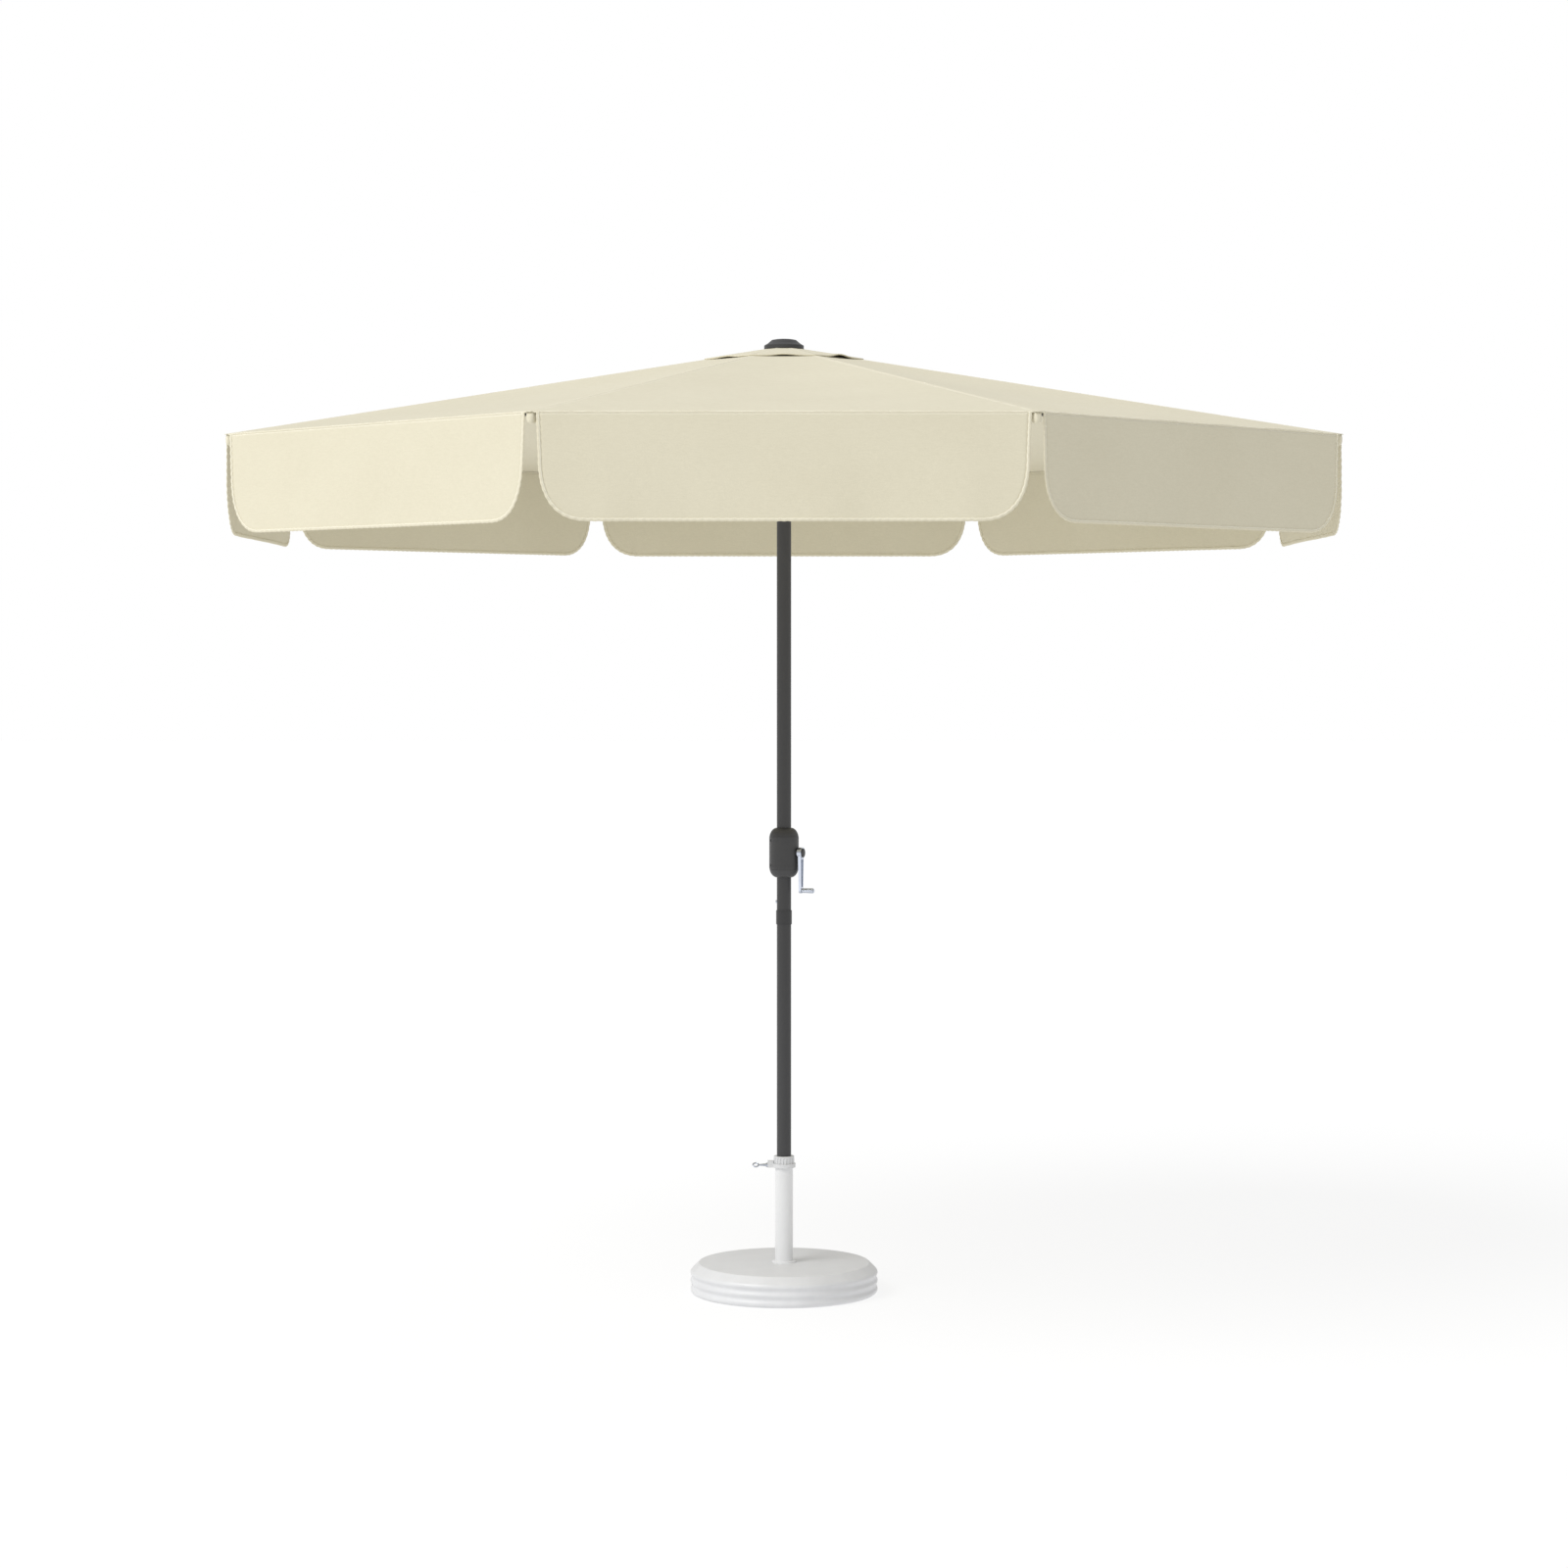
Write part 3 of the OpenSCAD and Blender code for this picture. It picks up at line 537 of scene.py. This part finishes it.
VALANCE_ROWS, VALANCE_COLUMNS = 34, 85
ROW_SPREAD = 1.15  # the rows lie closer together towards the hem
SIDE_TAPER = 0.004  # a side leans in by this much before its corner begins
CORNER_POWER = 2.5
CORNER_WIDTH, CORNER_HEIGHT = 0.116, 0.149
BROAD_FOLD, BROAD_PER_M, BROAD_DOWN = 0.0075, 4.2, 0.6
NARROW_FOLD, NARROW_PER_M = 0.0033, 11
SIDE_FLARE, FLARE_POWER = 0.0025, 6
FOLD_GROWTH = 1.1  # power of the depth with which the folds open
VALANCE_INSET = 0.0006
EDGE_Z = VALANCE_TOP + 0.0012  # the cloth's top edge, up inside the rim's seam
TOP_STITCH_SHIFT = 0.002


def valance_side(depth):
    """Half-width of a valance at a depth below its top."""
    start = VALANCE_HEIGHT - CORNER_HEIGHT
    if depth <= start:
        return VALANCE_HALF - SIDE_TAPER * depth / start
    down = min(1.0, (depth - start) / CORNER_HEIGHT)
    return VALANCE_HALF - SIDE_TAPER - CORNER_WIDTH * (1 - (1 - down ** CORNER_POWER) ** (1 / CORNER_POWER))


def valance_bulge(k, t, depth):
    """How far the hanging cloth stands out from the flat: soft folds that open towards the hem."""
    down = depth / VALANCE_HEIGHT
    broad = BROAD_FOLD * wave(t * BROAD_PER_M + 3 * k, down * BROAD_DOWN, k + BROAD_SEED)
    narrow = NARROW_FOLD * wave(t * NARROW_PER_M + k, down, k + NARROW_SEED)
    flare = SIDE_FLARE * (abs(t) / VALANCE_HALF) ** FLARE_POWER
    return (broad + narrow + flare) * down ** FOLD_GROWTH - VALANCE_INSET


def row_depth(share):
    """Depth of a row below the valance's top, for its share of all the rows."""
    return VALANCE_HEIGHT * math.sin(share * math.pi / 2) ** ROW_SPREAD


def make_valance(k):
    points, cloth = [], []
    for i in range(VALANCE_ROWS):
        depth = row_depth(i / (VALANCE_ROWS - 1))
        half = valance_side(depth)
        for u in np.linspace(-1, 1, VALANCE_COLUMNS):
            t = u * half
            points.append((APOTHEM + valance_bulge(k, t, depth), t, EDGE_Z - depth))
            cloth.append((t, depth, depth + TOP_STITCH_SHIFT))
    valance = cloth_sheet(f"valance_cloth_{k}", k, points, cloth, VALANCE_COLUMNS, CANVAS_VALANCE, offset=0.0)
    dress(valance, f"valance_{k}")
    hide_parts(f"valance_{k}")
    return valance


SIDE_POINTS, HEM_POINTS = 90, 200


def valance_outline():
    """(t, depth) down one side, along the hem and up the other side."""
    side = []
    for share in np.linspace(0, 1, SIDE_POINTS):
        depth = row_depth(share)
        side.append((valance_side(depth), depth))
    hem = [(t, VALANCE_HEIGHT) for t in np.linspace(side[-1][0], -side[-1][0], HEM_POINTS)[1:-1]]
    return side + hem + [(-t, depth) for t, depth in reversed(side)]


BINDING_W, BINDING_T = 0.0070, 0.0011
BINDING_LIP = 0.0012  # the fold of the tape, outside the cloth's edge
PUCKERS_PER_M = 58
PUCKER, SCALLOP = 0.0006, 0.0005
PUCKER_NOISE, NOISE_PER_M = 0.0004, 60
PHASE_DRIFT, DRIFT_PER_M = 4, 8  # keeps the puckers from being even
BINDING_ROUND = 0.0006  # of its inner edge
BINDING_MIDDLE = 1.12  # how much thicker the tape is between its edges


def make_binding(k):
    """Bias tape folded over the valance's edge, a little puckered between its stitches."""
    outline = valance_outline()
    azimuth = panel_azimuth(k)
    out = placed((1, 0, 0), azimuth)
    path, frames, runs = [], [], []
    run = 0.0
    for i, (t, depth) in enumerate(outline):
        before, after = outline[max(i - 1, 0)], outline[min(i + 1, len(outline) - 1)]
        dt, dd = after[0] - before[0], after[1] - before[1]
        length = math.hypot(dt, dd)
        inward = (-dd / length, dt / length)  # in (t, depth), to the cloth's middle
        run += math.hypot(t - before[0], depth - before[1])
        phase = run * PUCKERS_PER_M * 2 * math.pi + PHASE_DRIFT * wave(run * DRIFT_PER_M, k, PHASE_SEED)
        pucker = PUCKER * math.sin(phase) + PUCKER_NOISE * wave(run * NOISE_PER_M, k, PUCKER_SEED)
        scallop = SCALLOP * math.cos(phase)
        outward = APOTHEM + valance_bulge(k, t, depth) + pucker
        at = (outward, t + scallop * inward[0], EDGE_Z - depth - scallop * inward[1])
        path.append(placed(at, azimuth))
        frames.append((placed((0, inward[0], -inward[1]), azimuth), out))
        runs.append(run)
    w, h = BINDING_W, CLOTH_T / 2 + BINDING_T
    upper = [
        (-BINDING_LIP, 0.4 * h), (0.0002, h), (w / 2, h * BINDING_MIDDLE), (w - BINDING_ROUND, h), (w, 0.3 * h)
    ]
    lower = [(a, -b) for a, b in reversed(upper)]
    profile = [lower[-1], *upper, *lower[:-1]]
    cloth = [(a, run, w - a) for run in runs for a, _ in profile]
    return sewn_strip(f"valance_binding_{k}", path, frames, profile, cloth, f"valance_{k}")


# ---------------------------------------------------------------- rim and ridge seams

RIM_POINTS, RIM_SIDES = 120, 10
RIM_OUTWARD, RIM_UPWARD = 0.0013, 0.0021  # half sizes of the rolled seam
RIM_END = 0.0085  # keeps the seam clear of the rib's pocket
RIM_INSET, RIM_DROP = 0.0006, 0.0010
RIM_STITCH_SHIFT = 0.0005
RIM_RIPPLE, RIM_RIPPLE_TURN = 0.0001, 330  # the turn is in radians per metre
RIM_NOISE, RIM_NOISE_PER_M = 0.0002, 30


def make_rim_seam(k):
    """The rolled seam where the roof and the valance are sewn together."""
    azimuth = panel_azimuth(k)
    half = APOTHEM * math.tan(HALF_STEP) - RIM_END
    sideways = [-half + 2 * half * i / (RIM_POINTS - 1) for i in range(RIM_POINTS)]
    path = []
    for t in sideways:
        ripple = RIM_RIPPLE * math.sin(t * RIM_RIPPLE_TURN) + RIM_NOISE * wave(t * RIM_NOISE_PER_M, k, RIM_SEED)
        path.append(placed((APOTHEM - RIM_INSET + ripple, t, RIM_Z - RIM_DROP), azimuth))
    frames = [(placed((1, 0, 0), azimuth), UP)] * RIM_POINTS
    around = np.linspace(0, 2 * math.pi, RIM_SIDES, endpoint=False)
    profile = [(RIM_OUTWARD * math.cos(a), RIM_UPWARD * math.sin(a)) for a in around]
    cloth = [(b, t, RIM_STITCH_SHIFT + b) for t in sideways for _, b in profile]
    return sewn_strip(f"rim_seam_{k}", path, frames, profile, cloth, f"valance_{k}")


RIDGE_POINTS = 130
RIDGE_W = 0.019
RIDGE_TOP = 0.0006  # how far the seam's fold stands above the roof
RIDGE_EDGE, RIDGE_MIDDLE = 0.0008, 0.0018  # how far its edges and its middle reach into the roof
RIDGE_LIFT = 0.0004
RIDGE_NOISE, RIDGE_NOISE_PER_M = 0.0002, 70
RIDGE_OVERLAP = 0.001  # past the vent's edge and past the rim
CORNER_R = APOTHEM / math.cos(HALF_STEP)


def ridge_z(r):
    """Height of the flat roof over a rib, at a distance from the axis."""
    return RIM_Z + (CORNER_R - r) * math.cos(HALF_STEP) * SLOPE


def make_ridge_seam(k):
    """The flat-felled seam over rib k, from under the vent flap to the rib's pocket."""
    azimuth = rib_azimuth(k)
    start, end = (VENT_APOTHEM + RIDGE_OVERLAP) / math.cos(HALF_STEP), CORNER_R + RIDGE_OVERLAP
    distances = [start + (end - start) * i / (RIDGE_POINTS - 1) for i in range(RIDGE_POINTS)]
    path = []
    for r in distances:
        ripple = RIDGE_NOISE * wave(r * RIDGE_NOISE_PER_M, k, RIDGE_SEED)
        path.append(placed((r, 0, ridge_z(r) + RIDGE_LIFT + ripple), azimuth))
    frames = [(placed((0, 1, 0), azimuth), UP)] * RIDGE_POINTS
    w, top = RIDGE_W / 2, RIDGE_TOP
    drop = w * math.tan(HALF_STEP) * SLOPE * math.cos(HALF_STEP)  # the roof falls away on both sides of the rib
    shoulder = (w - 0.0008, -drop * 0.9 + top * 0.6)
    rise = (w * 0.5, -drop * 0.5 + top)
    profile = [
        (-w, -drop - RIDGE_EDGE), (-shoulder[0], shoulder[1]), (-rise[0], rise[1]), (0, top),
        rise, shoulder, (w, -drop - RIDGE_EDGE), (0, -RIDGE_MIDDLE),
    ]
    cloth = [(a, r, w - abs(a)) for r in distances for a, _ in profile]
    return sewn_strip(f"ridge_seam_{k}", path, frames, profile, cloth, f"rib_{k}")


# ---------------------------------------------------------------- pockets

POCKET_HALF, POCKET_DEPTH = 0.0090, 0.0270
POCKET_POWER, NOSE_POWER = 3.2, 2.6  # how square the U is, and how square its nose is
POCKET_START, POCKET_NOSE, POCKET_END = 1.462, 1.4890, 1.4990
POCKET_T = 0.0008
POCKET_SIDES, STRAIGHT_STATIONS, NOSE_STATIONS = 25, 8, 10
POCKET_TOP, POCKET_SHOULDER = 0.0013, 0.0006  # depth of its top below the ridge, and what its sides hang lower
POCKET_PUCKER, POCKET_PUCKER_TURN = 0.0003, 1400
PLAIN = 0.1  # a distance from the edge at which the cloth has no stitching


def make_pocket(k):
    """The sleeve that holds the rib's end: a U of cloth under the ridge, rounded in front."""
    power = 2 / POCKET_POWER
    middle = POCKET_DEPTH / 2
    around = np.linspace(0, math.pi, POCKET_SIDES)
    straight = np.linspace(POCKET_START, POCKET_NOSE, STRAIGHT_STATIONS + 1)[:-1]
    nose_length = POCKET_END - POCKET_NOSE
    rounded = POCKET_NOSE + nose_length * np.sin(np.linspace(0, math.pi / 2, NOSE_STATIONS + 1)[:-1])
    stations = np.concatenate([straight, rounded])
    points, cloth = [], []
    for r in stations:
        nose = max(0.0, (r - POCKET_NOSE) / nose_length)
        size = (1 - nose ** NOSE_POWER) ** (1 / NOSE_POWER)
        half = POCKET_HALF + POCKET_PUCKER * math.sin(r * POCKET_PUCKER_TURN + k)
        for a in around:
            side = math.copysign(abs(math.cos(a)) ** power, -math.cos(a)) * half
            top = POCKET_TOP + POCKET_SHOULDER * abs(math.cos(a))
            down = top + math.sin(a) ** power * POCKET_DEPTH
            points.append((r, side * size, ridge_z(r) - middle - (down - middle) * size))
            cloth.append((side, r, PLAIN))
    rows, columns = len(stations), len(around)
    faces = [tuple(reversed(face)) for face in grid_faces(rows, columns)]
    for left in range(0, (rows - 1) * columns, columns):  # the strip that closes the U on top
        right = left + columns - 1
        faces.append((left, right, right + columns, left + columns))
    faces.append(end_faces(rows, columns)[1])
    pocket = new_piece(f"rib_pocket_{k}", turned(points, rib_azimuth(k)), faces, CANVAS_TAPE)
    store(pocket, cloth)
    thicken(pocket, POCKET_T)
    return dress(pocket, f"rib_{k}")


# ---------------------------------------------------------------- vent flap

FLAP_ROWS, FLAP_COLUMNS = 20, 29
FLAP_START = 0.046  # a fixed collar inside it, and gores that fold outside it
FLAP_SEAM_GAP = 0.0002
FLAP_LIFT = {5: 0.0028, 6: 0.003, 7: 0.007}  # how far the wind has lifted the middle of an edge
USUAL_LIFT = 0.005
LIFT_WIDTH = 0.35  # share of the half-edge that the lift spreads over
FLAP_SETTLE = 0.0010
FLAP_RIPPLE, FLAP_PER_M, FLAP_DOWN = 0.0012, 18, 2


def flap_z(rho):
    return FLAP_Z + (FLAP_APOTHEM - rho) * FLAP_SLOPE


def flap_point(k, v, u):
    """A point of flap gore k: v runs from the collar (0) to the edge (1), and u across as on the roof."""
    rho = FLAP_START + v * (FLAP_APOTHEM - FLAP_START)
    t = u * (rho * math.tan(HALF_STEP) - FLAP_SEAM_GAP)
    lift = FLAP_LIFT.get(k, USUAL_LIFT) * v ** 3 * math.exp(-(u / LIFT_WIDTH) ** 2)
    settle = FLAP_SETTLE * v ** 3
    ripple = FLAP_RIPPLE * wave(t * FLAP_PER_M + 5 * k, v * FLAP_DOWN, k + FLAP_SEED) * v ** 2 * (1 - u * u)
    return rho, t, flap_z(rho) + lift - settle + ripple


def make_flap(k):
    points, cloth = [], []
    for v in np.linspace(0, 1, FLAP_ROWS):
        for u in np.linspace(-1, 1, FLAP_COLUMNS):
            rho, t, z = flap_point(k, v, u)
            points.append((rho, t, z))
            cloth.append((t, rho, min(seam_distance(rho, t), FLAP_APOTHEM - rho)))
    flap = cloth_sheet(f"flap_gore_{k}", k, points, cloth, FLAP_COLUMNS, CANVAS_FLAP)
    dress(flap, f"panel_{k}")
    if k == 1:
        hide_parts("vent_flap")
    return flap


HEM_STATIONS = 33
HEM_IN, HEM_BEND, HEM_OUT = 0.006, 0.001, 0.002  # where the binding begins, bends and ends, outward of its path
HEM_HALF, HEM_UNDER, HEM_OVER = 0.0012, 0.0016, 0.0014  # its half thickness inside, and at the bend
HEM_INSET = 0.001
HEM_RUN = 0.006  # length of cloth between two stations


def make_flap_hem(k):
    """Binding along the flap's free edge."""
    azimuth = panel_azimuth(k)
    path = []
    for i in range(HEM_STATIONS):
        rho, t, z = flap_point(k, 1.0, -1 + 2 * i / (HEM_STATIONS - 1))
        path.append(placed((rho - HEM_INSET, t, z - CLOTH_T / 2), azimuth))
    frames = [(placed((1, 0, 0), azimuth), UP)] * HEM_STATIONS
    profile = [
        (-HEM_IN, -HEM_HALF), (HEM_BEND, -HEM_UNDER), (HEM_OUT, 0), (HEM_BEND, HEM_OVER), (-HEM_IN, HEM_HALF)
    ]
    cloth = [(a, i * HEM_RUN, HEM_IN + a) for i in range(HEM_STATIONS) for a, _ in profile]
    return sewn_strip(f"flap_hem_{k}", path, frames, profile, cloth, f"panel_{k}")


COLLAR_ROWS, COLLAR_SIDES = 6, 64
COLLAR_LAP = 0.0025  # how far the collar lies over the gores
COLLAR_APOTHEM = FLAP_START + COLLAR_LAP
COLLAR_LIFT = 0.0014


def make_flap_collar():
    """The middle of the vent flap, which the finial clamps, so it stays still while the gores fold."""
    points, cloth = [], []
    for i in range(COLLAR_ROWS):
        rho = FLAP_HOLE + (COLLAR_APOTHEM - FLAP_HOLE) * i / (COLLAR_ROWS - 1)
        for j in range(COLLAR_SIDES):
            a = 2 * math.pi * j / COLLAR_SIDES
            off_middle = (a + HALF_STEP) % STEP - HALF_STEP
            r = rho / math.cos(off_middle)
            points.append((r * math.cos(a), r * math.sin(a), flap_z(rho) + COLLAR_LIFT))
            cloth.append((r * math.cos(a), r * math.sin(a), PLAIN))
    collar = new_piece("flap_collar", points, tube_faces(COLLAR_ROWS, COLLAR_SIDES), CANVAS_FLAP)
    store(collar, cloth)
    thicken(collar)
    return dress(collar, "pole")


# ---------------------------------------------------------------- crank

CRANK_AZIMUTH = -HALF_STEP
CRANK_Z = 1.1743
HUB_END = 0.0545  # distance of the crank hub's outer face from the axis
CAP_SIDES = 48
# (radius, distance out of the hub)
CAP_PROFILE = [(0.0120, 0.0), (0.0120, 0.0012), (0.0117, 0.0017), (0.0112, 0.0020), (0.0060, 0.0023)]


def make_crank_cap():
    """The dark plug pressed into the end of the crank's hub, turned from its profile."""
    around = np.linspace(0, 2 * math.pi, CAP_SIDES, endpoint=False)
    points = [
        (HUB_END + out, radius * math.cos(a), CRANK_Z + radius * math.sin(a))
        for radius, out in CAP_PROFILE for a in around
    ]
    rings = len(CAP_PROFILE)
    faces = [tuple(reversed(face)) for face in tube_faces(rings, CAP_SIDES) + end_faces(rings, CAP_SIDES)]
    cap = new_piece("crank_cap", turned(points, CRANK_AZIMUTH), faces, CAD_MATERIALS["black_nylon"])
    return dress(cap, "crank")


# ---------------------------------------------------------------- camera, floor and light

CAMERA_DISTANCE = 9.27
CAMERA_HEIGHT = 1.696
CAMERA_PITCH = math.radians(2.097)
FOCAL_LENGTH, SENSOR_WIDTH = 80.17, 36  # in millimetres
SIGHT = 200


def link(obj):
    bpy.context.scene.collection.objects.link(obj)
    return obj


def make_camera():
    data = bpy.data.cameras.new("camera")
    data.lens = FOCAL_LENGTH
    data.sensor_width = SENSOR_WIDTH
    data.clip_end = SIGHT
    camera = link(bpy.data.objects.new("camera", data))
    camera.location = (0, -CAMERA_DISTANCE, CAMERA_HEIGHT)
    camera.rotation_euler = (math.pi / 2 - CAMERA_PITCH, 0, 0)
    bpy.context.scene.camera = camera


FLOOR_REACH = 60
FLOOR_GAP = 0.0005  # the floor lies just under the base
FLOOR_GREY = 0.16
FLOOR_GLOW = {"From Min": -1.0, "From Max": -4.0, "To Min": 0.828, "To Max": 1.13}  # brighter to the left


def make_floor():
    """A white sweep: most of its light is its own, so the umbrella's shadow stays faint on it."""
    material, nodes, links, shader = tree("studio_floor")
    shader.inputs["Base Color"].default_value = (*grey(FLOOR_GREY), 1)
    shader.inputs["Roughness"].default_value = 1.0
    shader.inputs["Specular IOR Level"].default_value = 0.0
    shader.inputs["Emission Color"].default_value = (*WHITE, 1)
    coordinates = nodes.new("ShaderNodeTexCoord")
    split = nodes.new("ShaderNodeSeparateXYZ")
    glow = nodes.new("ShaderNodeMapRange")
    links.new(coordinates.outputs["Object"], split.inputs["Vector"])
    links.new(split.outputs["X"], glow.inputs["Value"])
    for name, value in FLOOR_GLOW.items():
        glow.inputs[name].default_value = value
    links.new(glow.outputs["Result"], shader.inputs["Emission Strength"])
    mesh = bpy.data.meshes.new("floor")
    far = FLOOR_REACH
    mesh.from_pydata([(-far, -far, 0), (far, -far, 0), (far, far, 0), (-far, far, 0)], [], [(0, 1, 2, 3)])
    mesh.materials.append(material)
    floor = link(bpy.data.objects.new("floor", mesh))
    floor.location.z = cad_low[2] - FLOOR_GAP


TO_SUN = (-0.526, -0.400, 0.750)
SUN_ENERGY = 2.1
SUN_WIDTH = math.radians(35)
ROOM_LIGHT, ROOM_WHITE = 0.63, 1.0  # what the room lights things with, and what the camera sees of it


def make_light():
    """One broad soft light from the upper left, and an even white room that looks brighter than it lights."""
    data = bpy.data.lights.new("key", "SUN")
    data.energy = SUN_ENERGY
    data.angle = SUN_WIDTH
    light = link(bpy.data.objects.new("key", data))
    light.rotation_euler = Vector(TO_SUN).to_track_quat("Z", "Y").to_euler()
    world = bpy.data.worlds.new("studio")
    world.use_nodes = True
    nodes, links = world.node_tree.nodes, world.node_tree.links
    background = nodes["Background"]
    background.inputs["Color"].default_value = (*WHITE, 1)
    path = nodes.new("ShaderNodeLightPath")
    strength = nodes.new("ShaderNodeMapRange")
    strength.inputs["To Min"].default_value = ROOM_LIGHT
    strength.inputs["To Max"].default_value = ROOM_WHITE
    links.new(path.outputs["Is Camera Ray"], strength.inputs["Value"])
    links.new(strength.outputs["Result"], background.inputs["Strength"])
    bpy.context.scene.world = world
    bpy.context.scene.view_settings.view_transform = "Standard"


# ---------------------------------------------------------------- build

make_camera()
finish_cad_nodes()

for k in PANELS:
    gore = make_gore(k)
    valance = make_valance(k)
    binding = make_binding(k)
    rim = make_rim_seam(k)
    make_ridge_seam(k)
    make_pocket(k)
    flap = make_flap(k)
    hem = make_flap_hem(k)
    for piece in (gore, valance, binding, rim, flap, hem):
        fold_with_canopy(piece)

collar = make_flap_collar()

make_crank_cap()
make_floor()
make_light()
